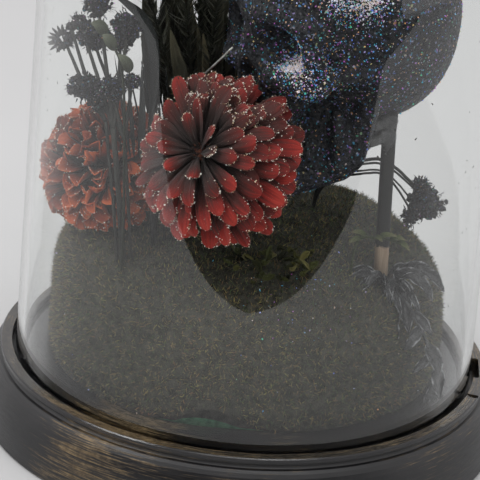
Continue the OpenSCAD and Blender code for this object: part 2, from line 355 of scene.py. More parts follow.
class Look:
    """A procedural material, put together node by node on top of the Principled shader."""

    def __init__(self, name, **sockets):
        sockets.setdefault("Specular_IOR_Level", 0.18)
        self.material = bpy.data.materials.new(name)
        self.material.use_nodes = True
        self.tree = self.material.node_tree
        self.shader = self.tree.nodes["Principled BSDF"]
        self.set(**sockets)
        self.place = self.add("TexCoord").outputs["Object"]

    def add(self, kind, inputs=None, **settings):
        node = self.tree.nodes.new("ShaderNode" + kind)
        for key, value in settings.items():
            setattr(node, key, value)
        for key, value in (inputs or {}).items():
            self.feed(node.inputs[key], value)
        return node

    def feed(self, socket, value):
        if isinstance(value, bpy.types.NodeSocket):
            self.tree.links.new(value, socket)
        elif hasattr(value, "__len__") and len(value) == 3 and socket.type == "RGBA":
            socket.default_value = (*value, 1)
        else:
            socket.default_value = value

    def set(self, **sockets):
        for key, value in sockets.items():
            self.feed(self.shader.inputs[key.replace("_", " ")], value)
        return self

    def vector(self, kind, a, b=(0, 0, 0)):
        return self.add("VectorMath", {0: a, 1: b}, operation=kind).outputs[0]

    def stretch(self, scale, place=None):
        return self.vector("MULTIPLY", place or self.place, scale)

    def noise(self, scale, detail=4.0, rough=0.55, place=None, twist=0.0):
        inputs = {"Vector": place or self.place, "Scale": scale, "Detail": detail, "Roughness": rough}
        return self.add("TexNoise", {**inputs, "Distortion": twist}).outputs["Fac"]

    def math(self, kind, *values):
        return self.add("Math", dict(enumerate(values)), operation=kind).outputs[0]

    def times(self, first, *others):
        for other in others:
            first = self.math("MULTIPLY", first, other)
        return first

    def plus(self, first, *others):
        for other in others:
            first = self.math("ADD", first, other)
        return first

    def span(self, length, low, high, start=0.0, end=1.0):
        """From start to end as a length goes from low to high, both in mm."""
        limits = {"From Min": low * MM, "From Max": high * MM, "To Min": start, "To Max": end}
        return self.add("MapRange", {"Value": length, **limits}).outputs[0]

    def ramp(self, fac, *stops):
        node = self.add("ValToRGB", {"Fac": fac})
        band = node.color_ramp
        for _ in stops[2:]:
            band.elements.new(0.5)
        for element, (at, colour) in zip(band.elements, stops):
            element.position = at
            element.color = (*colour, 1) if hasattr(colour, "__len__") else (colour, colour, colour, 1)
        return node.outputs["Color"]

    def mix(self, fac, a, b):
        return self.add("MixRGB", {0: fac, 1: a, 2: b}).outputs[0]

    def tag(self, name):
        return self.add("Attribute", attribute_name=name).outputs["Fac"]

    def bump(self, height, strength, distance=0.5):
        relief = self.add("Bump", {"Height": height, "Strength": strength, "Distance": distance * MM})
        self.set(Normal=relief.outputs["Normal"])


def plain(name, dark, light, scale, rough=(0.4, 0.7), bump=0.4, stretch=(1, 1, 1), depth=0.3, **sockets):
    """A surface whose colour, gloss and relief wander with a noise, its scale in features a metre."""
    look = Look(name, **sockets)
    place = look.stretch(stretch)
    fine = look.noise(scale, 6, 0.6, place)
    look.set(Base_Color=look.ramp(look.noise(scale * 0.35, 5, 0.6, place), (0.35, dark), (0.65, light)))
    look.set(Roughness=look.ramp(fine, (0.3, rough[0]), (0.7, rough[1])))
    look.bump(fine, bump, depth)
    return look.material


def tinted(name, ramp, rough=0.6, bump=0.3, scale=900, spread=0.3, veins=0.0, wander=0.3, **sockets):
    """Colour from the piece's own tone, shifted by its seed and a fine noise, with veins along a petal."""
    look = Look(name, **sockets)
    grain = look.noise(scale, 5, 0.6)
    if veins:
        along, aside = look.times(look.tag("tone"), 1.3), look.times(look.tag("side"), 4.5)
        flat = look.add("CombineXYZ", {0: along, 1: aside, 2: look.times(look.tag("seed"), 57)}).outputs[0]
        grain = look.plus(look.times(grain, 1 - veins), look.times(look.noise(1.0, 4, 0.6, flat), veins))
    reach = wander + 0.5 * veins
    own = look.math("MULTIPLY_ADD", look.tag("seed"), spread, -spread / 2)
    drift = look.math("MULTIPLY_ADD", grain, reach, -reach / 2)
    look.set(Base_Color=look.ramp(look.plus(look.tag("tone"), own, drift), *ramp))
    look.set(Roughness=look.ramp(grain, (0.3, rough - 0.12), (0.7, rough + 0.12)))
    look.bump(grain, bump)
    return look.material


def leaf_with_painted_highlights(name, dark, light, edge):
    """Crumpled glossy leaf: near black, with painted highlights in thin pale lines along its rims and folds.
    """
    look = Look(name, Roughness=0.16, Specular_IOR_Level=0.6)
    side = look.math("ABSOLUTE", look.tag("side"))
    crease = look.noise(260, 5, 0.6)
    # Painted highlights: the pale edge colour is laid on the rims and on thin folds, where light would glint.
    painted_rim_highlight_patches = look.ramp(crease, (0.46, 0.0), (0.62, 1.0))
    rim = look.times(look.ramp(side, (0.80, 0.0), (0.96, 1.0)), painted_rim_highlight_patches)
    painted_fold_highlights = look.ramp(look.noise(420, 3, 0.5, twist=1.5), (0.485, 0.0), (0.50, 1.0), (0.515, 0.0))
    rim = look.math("MAXIMUM", rim, look.times(painted_fold_highlights, 0.35))
    look.set(Base_Color=look.mix(rim, look.ramp(crease, (0.35, dark), (0.65, light)), edge))
    look.bump(crease, 1.0, 1.2)
    return look.material


def base_paint():
    """Charcoal satin paint, dry-brushed in old gold along the circumference and worn on the rim's top."""
    look = Look("charcoal_and_gold", Specular_IOR_Level=0.6)
    part = look.add("SeparateXYZ", {0: look.place}).outputs
    angle = look.math("ARCTAN2", part["Y"], part["X"])
    radius = look.math("SQRT", look.plus(look.math("POWER", part["X"], 2), look.math("POWER", part["Y"], 2)))
    wound = look.add("CombineXYZ", {0: look.times(angle, 0.11), 1: part["Z"], 2: radius}).outputs[0]
    streak = look.noise(1, 7, 0.62, look.stretch((70, 1700, 1700), wound))
    hair = look.noise(1, 5, 0.7, look.stretch((130, 3600, 3600), wound))
    patch, speck = look.noise(16, 4, 0.6), look.noise(900, 5, 0.7)
    top = look.span(part["Z"], RIM_TOP - 2.6, RIM_TOP - 0.2)
    inside = look.span(radius, RIM_CHAMFER_FROM, RIM_CHAMFER_TO, 1, 0)
    worn = look.times(top, look.span(radius, 100.5, 101.8), inside)
    unworn_edge = look.math("MAXIMUM", inside, look.math("SUBTRACT", 1, top))
    sweep = look.math("SUBTRACT", angle, math.radians(GOLD_AZIMUTH))
    sweep = look.times(sweep, 1 / math.radians(GOLD_SPREAD))
    brushed = look.math("EXPONENT", look.times(sweep, sweep, -1))
    strokes = look.plus(look.times(streak, 0.75), look.times(patch, 0.5), look.times(hair, 0.22))
    strokes = look.plus(strokes, look.math("MULTIPLY_ADD", brushed, 0.20, -0.12))
    amount = look.plus(strokes, look.times(worn, look.times(speck, 0.16)))
    gold = look.times(look.ramp(amount, (0.74, 0.0), (0.90, 1.0)), unworn_edge)
    ground = look.ramp(look.noise(60, 6, 0.6), (0.35, (0.003, 0.003, 0.004)), (0.7, (0.010, 0.009, 0.010)))
    scuffs = look.noise(420, 6, 0.7)
    scuffed = look.ramp(scuffs, (0.40, (0.012, 0.011, 0.010)), (0.78, (0.075, 0.062, 0.046)))
    ground = look.mix(worn, ground, scuffed)
    leaf = look.ramp(look.noise(300, 5, 0.7), (0.35, (0.13, 0.085, 0.040)), (0.7, (0.36, 0.26, 0.14)))
    look.set(Base_Color=look.mix(look.times(gold, 0.85), ground, leaf), Metallic=look.times(gold, 0.45))
    rim = look.span(part["Z"], RIM_TOP - 3.2, RIM_TOP - 2)
    polished = look.ramp(hair, (0.4, 0.06), (0.8, 0.16))
    brushed_on = look.ramp(hair, (0.35, 0.30), (0.7, 0.50))
    look.set(Roughness=look.mix(rim, brushed_on, polished))
    look.bump(look.plus(look.times(hair, 0.5), look.times(gold, 0.5), look.times(speck, 0.3)), 0.35, 0.25)
    return look.material


def clear_glass(name, shine):
    """Faintly green soda glass that soft light passes; shine is the share of mirror light added to it."""
    look = Look(name, Roughness=0.0, IOR=1.47, Transmission_Weight=1.0, Base_Color=(0.985, 0.995, 0.99))
    look.set(Specular_Tint=(1, 1, 1) if shine else (0, 0, 0))
    look.bump(look.noise(14, 2, 0.4), 0.05, 0.6)
    path = look.add("LightPath").outputs
    passing = look.math("MAXIMUM", path["Is Shadow Ray"], path["Is Diffuse Ray"])
    through = look.add("BsdfTransparent", {"Color": (0.93, 0.945, 0.94)}).outputs[0]
    mirror = look.add("BsdfGlossy", {"Roughness": 0.0}).outputs[0]
    clear = look.add("MixShader", {0: shine, 1: look.shader.outputs[0], 2: mirror}).outputs[0]
    blend = look.add("MixShader", {0: passing, 1: clear, 2: through}).outputs[0]
    look.tree.links.new(blend, look.tree.nodes["Material Output"].inputs["Surface"])
    return look.material


def glitter(name, ground, rough, size, metal):
    """A dark coat of glitter: tiny tilted cells, most dark and a few in bright rainbow colours, partly the
    glitter's own colour and partly painted glints.
    """
    look = Look(name, Metallic=metal, Roughness=rough)
    colour = look.add("TexVoronoi", {"Vector": look.place, "Scale": size}).outputs["Color"]
    pick = look.add("SeparateColor", {0: colour}).outputs
    # Partly painted glints: about one cell in ten takes a bright rainbow colour that shows under any lamp.
    glitter_colour_and_painted_glint = look.ramp(pick[1], (0.90, 0.0), (1.0, 0.5))
    dull = look.ramp(pick[2], (0.1, tuple(c * 0.5 for c in ground)), (0.9, ground))
    look.set(Base_Color=look.mix(glitter_colour_and_painted_glint, dull, look.ramp(pick[0], *RAINBOW)))
    tilt = look.vector("MULTIPLY", look.vector("SUBTRACT", colour, (0.5, 0.5, 0.5)), (0.9, 0.9, 0.9))
    normal = look.add("NewGeometry").outputs["Normal"]
    look.set(Normal=look.vector("NORMALIZE", look.vector("ADD", normal, tilt)))
    return look.material


def painted_post():
    """A dowel painted black, with its foot left as bare wood."""
    look = Look("post_paint")
    part = look.add("SeparateXYZ", {0: look.place}).outputs
    grain = look.noise(1, 5, 0.6, look.stretch((900, 900, 40)))
    paint = look.span(look.plus(part["Z"], look.times(look.noise(500, 3), 0.004)), 97.2, 98.2)
    wood = look.ramp(grain, (0.3, (0.22, 0.15, 0.10)), (0.7, (0.42, 0.31, 0.22)))
    black = look.ramp(grain, (0.3, (0.008, 0.008, 0.008)), (0.75, (0.03, 0.028, 0.026)))
    look.set(Base_Color=look.mix(paint, wood, black))
    look.set(Roughness=look.ramp(grain, (0.3, 0.45), (0.7, 0.65)))
    look.bump(grain, 0.4, 0.3)
    return look.material


# Glitter colours, bright enough to stand in as painted glints; the near-white ends colour the painted
# highlight flakes on the skull.
RAINBOW = (
    (0.0, (0.86, 0.84, 0.95)),
    (0.18, (0.16, 0.24, 0.90)),
    (0.38, (0.06, 0.66, 0.80)),
    (0.56, (0.72, 0.14, 0.70)),
    (0.72, (0.10, 0.66, 0.40)),
    (0.86, (0.88, 0.42, 0.14)),
    (1.0, (0.92, 0.90, 0.94)),
)
TURF = (
    (0.0, (0.036, 0.035, 0.030)),
    (0.30, (0.084, 0.080, 0.062)),
    (0.50, (0.095, 0.155, 0.058)),
    (0.66, (0.240, 0.135, 0.075)),
    (0.82, (0.350, 0.320, 0.110)),
    (1.0, (0.340, 0.130, 0.075)),
)

paint = base_paint()
glass_out, glass_in = clear_glass("glass_outside", 0.035), clear_glass("glass_inside", 0.0)
foam_look = plain("floral_foam", (0.02, 0.09, 0.045), (0.06, 0.22, 0.11), 900, (0.8, 1.0), 0.8)
bed_look = plain("turf_bed", (0.026, 0.025, 0.021), (0.076, 0.072, 0.058), 900, (0.85, 1.0), 0.6)
fibre_look = tinted("turf_fibres", TURF, 0.75, 0.2, 120, 0.1)
skull_look = glitter("holographic_black", (0.030, 0.030, 0.034), 0.5, 1300, 0.0)
# Glitter grains in bright colours with little metal: partly their own colour and partly painted glints,
# bright under any lamp.
flake_colour_and_painted_glint_look = tinted("rainbow_flakes_and_painted_glints", RAINBOW, 0.32, 0.1, 900, 0.04, wander=0.04, Metallic=0.2)
gold_look = tinted(
    "gold_flakes",
    (
        (0.0, (0.10, 0.06, 0.035)), (0.4, (0.32, 0.20, 0.11)),
        (0.6, (0.85, 0.70, 0.50)), (0.8, (0.98, 0.95, 0.90)),
    ),
    0.3, 0.1, 900, 0.05, wander=0.1, Metallic=0.2,
)
# Petal colour from foot to tip; the near-black low end is partly the petals' dark feet and partly painted
# shade in the gaps between petals.
zinnia_look = tinted(
    "zinnia_petals",
    (
        (0.0, (0.010, 0.008, 0.008)), (0.45, (0.040, 0.024, 0.022)), (0.70, (0.085, 0.020, 0.017)),
        (0.90, (0.250, 0.020, 0.016)), (1.0, (0.360, 0.034, 0.024)),
    ),
    0.6, 0.9, 700, 0.26, 0.8, Sheen_Weight=0.1,
)
mum_look = tinted(
    "mum_petals",
    (
        (0.0, (0.020, 0.006, 0.004)), (0.45, (0.070, 0.014, 0.008)),
        (0.72, (0.270, 0.040, 0.014)), (1.0, (0.620, 0.140, 0.045)),
    ),
    0.6, 0.7, 700, 0.34, 0.6, Sheen_Weight=0.1,
)
floret_look = tinted(
    "florets", ((0.0, (0.010, 0.008, 0.008)), (0.6, (0.060, 0.020, 0.015)), (1.0, (0.15, 0.05, 0.02))), 0.7
)
sepal_look = tinted(
    "sepals", ((0.0, (0.03, 0.045, 0.02)), (0.6, (0.06, 0.09, 0.035)), (1.0, (0.09, 0.12, 0.05))), 0.65
)
ALONG_STEM, ALONG_BLADE = (1, 1, 0.15), (1, 1, 0.1)
stem_look = plain("stems", (0.014, 0.018, 0.010), (0.05, 0.06, 0.03), 500, (0.5, 0.75), 0.5, ALONG_STEM)
umbel_look = glitter("dried_heads", (0.026, 0.026, 0.029), 0.6, 1900, 0.1)
stalk_look = plain(
    "dark_stalks", (0.014, 0.014, 0.013), (0.042, 0.042, 0.036), 500, (0.5, 0.7), 0.5, ALONG_STEM
)
olive_look = tinted(
    "olive_leaves",
    ((0.0, (0.015, 0.018, 0.010)), (0.6, (0.055, 0.062, 0.038)), (1.0, (0.12, 0.13, 0.09))),
    0.6, 0.5, 700, 0.3, 0.5,
)
grass_look = plain(
    "black_grass", (0.006, 0.007, 0.007), (0.026, 0.028, 0.027), 260, (0.4, 0.65), 0.2, ALONG_BLADE
)
needle_look = tinted(
    "needles", ((0.0, (0.016, 0.017, 0.013)), (0.6, (0.070, 0.072, 0.050)), (1.0, (0.22, 0.22, 0.18))), 0.55
)
dark_leaf_look = tinted(
    "dark_leaves",
    ((0.0, (0.018, 0.018, 0.014)), (0.5, (0.075, 0.072, 0.050)), (1.0, (0.240, 0.210, 0.130))),
    0.5, 0.8, 500, 0.5, 0.7,
)
twig_look = plain("silver_twig", (0.20, 0.20, 0.19), (0.60, 0.59, 0.56), 700, (0.3, 0.5), 0.5, Metallic=0.7)
# The third colour is the painted highlight on the leaves' rims and folds.
black_leaf_look = leaf_with_painted_highlights("black_leaves", (0.010, 0.010, 0.010), (0.042, 0.042, 0.043), (0.34, 0.34, 0.35))
green_look = tinted(
    "green_bits",
    ((0.0, (0.02, 0.028, 0.012)), (0.5, (0.07, 0.085, 0.03)), (1.0, (0.15, 0.14, 0.07))),
    0.6, 0.5,
)
litter_look = tinted(
    "leaf_litter",
    (
        (0.0, (0.012, 0.012, 0.005)), (0.45, (0.055, 0.060, 0.018)),
        (0.8, (0.110, 0.100, 0.030)), (1.0, (0.17, 0.15, 0.07)),
    ),
    0.6, 0.6,
)
glue_look = plain(
    "hot_glue", (0.010, 0.010, 0.010), (0.035, 0.035, 0.035), 260, (0.15, 0.35), 0.4, Specular_IOR_Level=0.5
)
post_look = painted_post()


# ---------- base, glass ----------

for node, material in (("base_plinth", paint), ("skull_post", post_look)):
    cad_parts[node].data.materials.clear()
    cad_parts[node].data.materials.append(material)


def dome():
    """The glass as a lathe shape with a rounded foot; its inner side is a slot of its own."""
    inner = GLASS_R - GLASS_WALL
    bead = GLASS_WALL / 2
    bend = np.radians(np.linspace(90, 0, 40))
    foot_bend = np.radians(np.linspace(0, -180, 13)[1:])
    straight = np.linspace(GLASS_CROWN, GLASS_FOOT + bead, 30)
    rows = [(GLASS_R * math.cos(a), GLASS_CROWN + GLASS_R * math.sin(a)) for a in bend]
    rows += [(GLASS_R, z) for z in straight[1:]]
    outside = len(rows) - 1
    rows += [
        (GLASS_R - bead + bead * math.cos(a), GLASS_FOOT + bead + bead * math.sin(a)) for a in foot_bend
    ]
    rows += [(inner, z) for z in straight[::-1][1:]]
    rows += [(inner * math.cos(a), GLASS_CROWN + inner * math.sin(a)) for a in bend[::-1][1:]]
    sides = 192
    turn = ring_angles(sides)
    body = rows[1:-1]
    rings = [np.stack([r * np.cos(turn), r * np.sin(turn), np.full(sides, z)], 1) for r, z in body]
    points = np.concatenate(rings + [[[0, 0, GLASS_TOP], [0, 0, GLASS_TOP - GLASS_WALL]]])
    quads = ring_faces(len(body), sides)[0][:, ::-1]
    top = len(body) * sides
    last = top - sides
    caps = [[top, k, (k + 1) % sides] for k in range(sides)]
    caps += [[top + 1, (k + 1) % sides + last, k + last] for k in range(sides)]
    soup = Soup()
    soup.add(points, quads, caps)
    piece = soup.build("glass_dome_blown", glass_out, "glass", "dome", replaces=["glass_dome"])
    piece.data.materials.append(glass_in)
    slots = np.zeros(len(piece.data.polygons), int)
    slots[(outside + len(foot_bend)) * sides : len(quads)] = 1
    slots[len(quads) + sides :] = 1
    piece.data.polygons.foreach_set("material_index", slots)


dome()


def flock_on_glass():
    """Stray turf fibres that cling to the inside of the glass."""
    rng = np.random.default_rng(5)
    soup = Soup()
    azimuths = [rng.normal(-8, 11, 60), rng.normal(190, 14, 40), rng.uniform(0, 360, 60)]
    turn = np.radians(np.concatenate(azimuths))
    height = np.concatenate([rng.uniform(110, 205, 60), rng.uniform(150, 215, 40), rng.uniform(45, 210, 60)])
    r = GLASS_R - GLASS_WALL - 0.35
    roots = np.stack([r * np.cos(turn), r * np.sin(turn), height], 1)
    n = len(turn)
    along = np.stack([-np.sin(turn), np.cos(turn), np.zeros(n)], 1)
    lean = rng.uniform(-1, 1, (n, 1))
    ways = unit(along * lean + UP * rng.uniform(-1, 1, (n, 1)))
    sides = unit(np.cross(ways, unit(roots * [1, 1, 0])))
    soup.add(*blades(roots, ways, sides, rng.uniform(0.7, 1.8, n), rng.uniform(0.4, 0.8, n), -along * 0.3))
    soup.build("clinging_flock", bed_look, "glass", "dome", smooth=False)


flock_on_glass()


# ---------- mound ----------


def hill(turn, rise):
    """Points of the mound: turn round it, rise from 0 at its foot to 1 at its top."""
    a = np.clip(rise, 0, 1) * math.pi / 2
    left = np.exp(-((np.angle(np.exp(1j * (turn - math.pi))) / 0.9) ** 2))
    power = 4 + 2.2 * left
    lump = 0.010 * np.sin(3 * turn + 1.3) + 0.008 * np.sin(5 * turn + 4 * a)
    lump = lump + 0.006 * np.sin(9 * turn - 7 * a)
    r = MOUND_R * np.cos(a) ** (2 / power) * (1 + lump) + 0.3
    z = MOUND_H * np.sin(a) ** (2 / power) * (1 + 0.6 * lump * np.sin(a))
    points = MOUND + np.stack([r * np.cos(turn), r * np.sin(turn), z], -1)
    to_post = np.linalg.norm(points[..., :2] - POST_FOOT[:2], axis=-1)
    points[..., 2] -= POST_DIP * np.exp(-((to_post / POST_DIP_R) ** 2)) * np.clip(z / MOUND_H, 0, 1)
    return points


def hill_rings(rows, sides, foot):
    """The mound's surface as rings, from foot, a share of its rise, almost to its top."""
    turn, rise = ring_angles(sides), np.linspace(foot, 0.999, rows) ** 1.3
    return hill(np.broadcast_to(turn, (rows, sides)), np.broadcast_to(rise[:, None], (rows, sides)))


def foam():
    """The block under the turf, a little inside it all round."""
    rows, sides = 40, 120
    points = MOUND + (hill_rings(rows, sides, 0.0) - MOUND) * [0.98, 0.98, 0.965]
    soup = Soup()
    soup.add(points.reshape(-1, 3), *ring_faces(rows, sides))
    soup.build("foam_block", foam_look, "foam", replaces=["mound_foam"])


foam()


FIBRES = 86000
BRIGHT_FRONT, BRIGHT_FRONT_R = [4, -76, 58], 34
SPILL, SPILL_R = [24, -62, 84], 20


def turf():
    """The flocked skin: a closed bed and the fibres on it, with a bare patch where the foam shows."""
    rows, sides = 64, 180
    points = hill_rings(rows, sides, 0.012)

    def bare(azimuth):
        return np.exp(-((((azimuth - BARE_AZIMUTH + 180) % 360 - 180) / BARE_SPREAD) ** 2))

    foot = DECK + 0.4 + BARE_HEIGHT * bare(np.degrees(ring_angles(sides)))
    points[0, :, 2] = foot
    points[1:4, :, 2] = np.maximum(points[1:4, :, 2], foot)
    points = points.reshape(-1, 3)
    quads, caps = ring_faces(rows, sides)
    bed = Soup()
    bed.add(points, quads, caps)
    bed.build("turf_bed", bed_look, "turf", replaces=["mound_turf"])

    rng = np.random.default_rng(11)
    roots, normals = scatter(points, quads, FIBRES, rng)
    azimuth = np.degrees(np.arctan2(roots[:, 1] - MOUND[1], roots[:, 0] - MOUND[0]))
    keep = roots[:, 2] > DECK + 1.2 + (BARE_HEIGHT + 1.3) * bare(azimuth)
    roots, normals = roots[keep], normals[keep]
    count = len(roots)
    drift = unit(rng.normal(size=(count, 3)))
    ways = unit(normals * 0.62 + drift * 0.75 + UP * 0.12)
    flat = unit(np.cross(ways, drift[::-1]))
    lengths = rng.uniform(1.4, 3.0, count)
    swirl = 0.5 + 0.5 * np.sin(roots[:, 0] / 17 + 1.2 * np.sin(roots[:, 2] / 13)) * np.cos(roots[:, 1] / 19)
    # Fibres low on the mound's front get brighter tones: partly their own bright colours, partly a painted
    # glow of light.
    front = nearness(roots, BRIGHT_FRONT, BRIGHT_FRONT_R)
    # Painted shade: fibres on the mound's top, above 80 mm, get darker tones, as where the flowers and skull
    # shade them.
    painted_top_shade = np.clip((roots[:, 2] - 80) / 14, 0, 1)
    tone = rng.random(count) ** (1.35 + 0.4 * painted_top_shade - 0.45 * front)
    tone = tone * (0.78 + 0.22 * swirl) * (1 - 0.1 * painted_top_shade)
    widths = rng.uniform(0.17, 0.30, count)
    fibres = Soup()
    fibres.add(
        *blades(roots - normals * 0.3, ways, flat, lengths, widths, unit(drift) * 0.35),
        tone=np.repeat(np.clip(tone, 0, 1), 5),
        seed=np.repeat(rng.random(count), 5),
    )
    fibres.build("turf_fibres", fibre_look, "turf", smooth=False)

    specks = np.random.default_rng(17)
    at, normal = scatter(points, quads, 150, specks, lambda p: 0.01 + nearness(p, SPILL, SPILL_R))
    n = len(at)
    sizes = specks.uniform(0.14, 0.34, n) * specks.choice([0.8, 1, 1.7], n)
    flakes("fallen_glitter", flake_colour_and_painted_glint_look, "skull", at + normal * 2.3, sizes, specks, lambda: specks.random(n))


turf()


# ---------- skull ----------


def to_world(points):
    a = math.radians(SKULL_YAW)
    turn = np.array([[math.cos(a), -math.sin(a), 0], [math.sin(a), math.cos(a), 0], [0, 0, 1]])
    return points @ turn.T + SKULL


def skull_head():
    low, step = (-54, -44, -62), 1.1
    p = grid(low, (60, 44, 44), step)
    f = egg(p, (-4, 0, 1), (46.5, 40, 40))
    f = blend_in(f, egg(p, (-13, 0, -17), (35.5, 33, 33.5)), 12)
    f = blend_in(f, egg(p, (27, 0, 9), (20, 30, 27)), 10)
    f = blend_in(f, egg(p, (33, 0, -26), (17, 16, 24)), 8)
    f = blend_in(f, bone(p, (46, 0, -2), (50, 0, -15), 5, 3.4), 4)
    f = blend_in(f, bone(p, (36, 0, -44), (44, 0, -47), 12, 9.5), 5)
    for s in (-1, 1):
        f = blend_in(f, bone(p, (45, 5 * s, 4), (38, 25 * s, 3), 5.5, 5), 4)
        f = blend_in(f, bone(p, (38, 26 * s, 2), (35, 28 * s, -14), 4, 5), 4)
        f = blend_in(f, bone(p, (44, 15 * s, -20), (33, 27 * s, -21), 6, 7), 4)
        f = blend_in(f, bone(p, (33, 28 * s, -19), (5, 35.5 * s, -17), 4.2, 3.0), 3)
    for s in (-1, 1):
        f = cut_out(f, egg(p, (22, 41 * s, 1), (12, 9, 16)), 6)
        f = cut_out(f, egg(p, (47, 15.5 * s, -7.5), (15, 10, 9)), 3)
        f = cut_out(f, egg(p, (52, 3.4 * s, -26), (10, 3.8, 7)), 2)
        f = cut_out(f, egg(p, (41, 20 * s, -35), (11, 7, 7)), 4)
        f = cut_out(f, egg(p, (20, 30 * s, -34), (11, 7, 12)), 5)
    f = cut_out(f, egg(p, (52, 0, -22), (9, 3, 5)), 2)
    return surface_net(f, low, step)


def skull_jaw():
    """The jaw: solid between its two branches, so that no light shows through it."""
    low, step = (-14, -38, -88), 1.1
    p = grid(low, (56, 38, -26), step)
    f = bone(p, (5, 0, -46), (34, 0, -64), 24, 12)
    f = blend_in(f, bone(p, (39, 8, -73), (39, -8, -73), 7.2, 7.2), 5)
    f = blend_in(f, egg(p, (44, 0, -75), (6, 9, 5.5)), 5)
    for s in (-1, 1):
        f = blend_in(f, bone(p, (12, 20 * s, -63), (38, 8 * s, -73), 6.4, 6.6), 5)
        f = blend_in(f, bone(p, (3, 25.5 * s, -34), (8, 23 * s, -58), 4.8, 6.0), 4)
        f = blend_in(f, bone(p, (17, 23 * s, -38), (14, 23 * s, -60), 2.6, 4), 4)
    return surface_net(f, low, step)


def teeth(level, height, reach, count):
    """One row of teeth along the jaw's arch, in the skull's own frame turned to the world's."""
    spread = np.linspace(-1, 1, count)
    arch = np.stack([reach - 24 * np.abs(spread) ** 2.4, 17 * spread, np.full(count, level)], 1)
    points, faces = copies(BALL[2], arch, 1.0, stretch=(1.9, 2.2, height))
    return to_world(points), faces


# Painted highlights on the skull's brow and temple: round these spots the glitter is gathered densely and
# many flakes are near white, where lamps would glint.
PAINTED_HIGHLIGHT_SPOTS = ((9, -46, 187, 6.5), (17, -47, 180, 6.5), (24, -43, 213, 6), (37, -39, 214, 7.5))


def skull():
    """The head and the jaw, each with its teeth, and glitter gathered into a few spots of painted highlight.
    """
    rng = np.random.default_rng(21)
    surfaces = []
    for (points, faces), row, name, node in (
        (skull_head(), (-54.5, 4.6, 51.5, 14), "skull_head", "skull_cranium"),
        (skull_jaw(), (-63.5, 4.2, 49, 12), "skull_jaw", "skull_mandible"),
    ):
        points = to_world(points)
        soup = Soup()
        soup.add(points, faces)
        soup.add(*teeth(*row))
        soup.build(name, skull_look, "skull", replaces=[node])
        surfaces.append((points, faces))

    # hot is nearness to the painted highlight spots; dense gathers more flakes round them.
    def hot(p):
        return sum(nearness(p, centre, reach) for *centre, reach in PAINTED_HIGHLIGHT_SPOTS)

    def dense(p):
        return 0.30 + 1.1 * nearness(p, [30, -44, 190], 30) + 30 * hot(p)

    at, normal = scatter(*surfaces[0], 5800, rng, dense)
    more, more_normal = scatter(*surfaces[1], 700, rng)
    at, normal = np.concatenate([at, more]), np.concatenate([normal, more_normal])
    n = len(at)
    # Painted highlight: in the spots many flakes take the near-white ends of the rainbow.
    silver = rng.random(n) < 1.1 * np.clip(hot(at), 0, 0.85)
    tone = np.where(silver, rng.choice([0.02, 0.98], n), rng.uniform(0.1, 0.95, n))
    size = rng.uniform(0.30, 0.46, n) * rng.choice([0.55, 0.8, 1.2], n) * np.where(silver, 1.25, 1)
    flakes("skull_glitter", flake_colour_and_painted_glint_look, "skull", at + normal * 0.2, size, rng, tone)


skull()


def glue():
    """Strings and a skin of hot glue between the jaw and the post, with a gap beside the post."""
    low, step = (36, -34, 128), 0.45
    p = grid(low, (60, -12, 158), step)
    f = bone(p, (53.1, -18, 143), (52.7, -18, 155), 3.2, 3.35)
    f = blend_in(f, bone(p, (46, -24, 152), (52, -19, 153), 2.8, 3.0), 2.5)
    f = blend_in(f, bone(p, (45.5, -25, 145), (52, -19, 146), 2.3, 2.6), 2.5)
    f = blend_in(f, bone(p, (52.4, -20.5, 138), (52.6, -20, 146), 0.9, 2.0), 2)
    f = cut_out(f, bone(p, (POST_FOOT + 0.1), POST_TOP, 3.02, 3.02), 0.2)
    soup = Soup()
    soup.add(*surface_net(f, low, step))
    soup.build("glue_strings", glue_look, "glue", replaces=["glue_web"])


glue()


# ---------- flowers ----------

PETAL_ROWS, PETAL_COLS = 12, 9


def petal(length, width, elevation, curl, cup, hook, rng, point=0.0):
    """One petal from the origin towards +X, with +Z as its upper side; also the share along it."""
    s = np.cos(np.linspace(math.pi / 2, 0, PETAL_ROWS))
    t = np.linspace(-1, 1, PETAL_COLS)[None, :]
    swell = 0.22 + 0.78 * np.sin(np.clip(s / 0.8, 0, 1) * math.pi / 2) ** 1.6
    rounding = min(0.5, 0.62 * width / length)
    tip = np.sqrt(np.clip(1 - (np.clip((s - 1 + rounding) / rounding, 0, 1)) ** 2, 0, 1))
    outline = width / 2 * swell * (tip * (1 - point) + point * np.clip((1 - s) / 0.32, 0, 1))
    outline = np.maximum(outline, 0.05 * width)
    angle = np.radians(elevation + curl * s**1.5 + hook * np.clip((s - 0.75) / 0.25, 0, 1))
    step = np.diff(s) * length
    x = np.concatenate([[0], np.cumsum(np.cos(angle[1:]) * step)])
    z = np.concatenate([[0], np.cumsum(np.sin(angle[1:]) * step)])
    wave = rng.uniform(-1, 1) * 0.06 * width * np.sin(s * 7 + rng.uniform(0, 6))
    lift = (cup * (0.25 + 0.75 * s) * outline)[:, None] * t**2 + wave[:, None] * t
    lift = lift - 0.10 * width * np.cos(2 * math.pi * t) * np.clip(1.15 - s, 0, 1)[:, None] * (1 - t**2)
    px = x[:, None] - np.sin(angle)[:, None] * lift
    pz = z[:, None] + np.cos(angle)[:, None] * lift
    py = outline[:, None] * t * np.ones_like(px)
    return np.stack([px, py, pz], -1).reshape(-1, 3), np.repeat(s, PETAL_COLS)


PETAL_SIDE = np.tile(np.linspace(-1, 1, PETAL_COLS), PETAL_ROWS)


def spin(points, degrees):
    a = math.radians(degrees)
    c, s = math.cos(a), math.sin(a)
    return points @ np.array([[c, s, 0], [-s, c, 0], [0, 0, 1]])


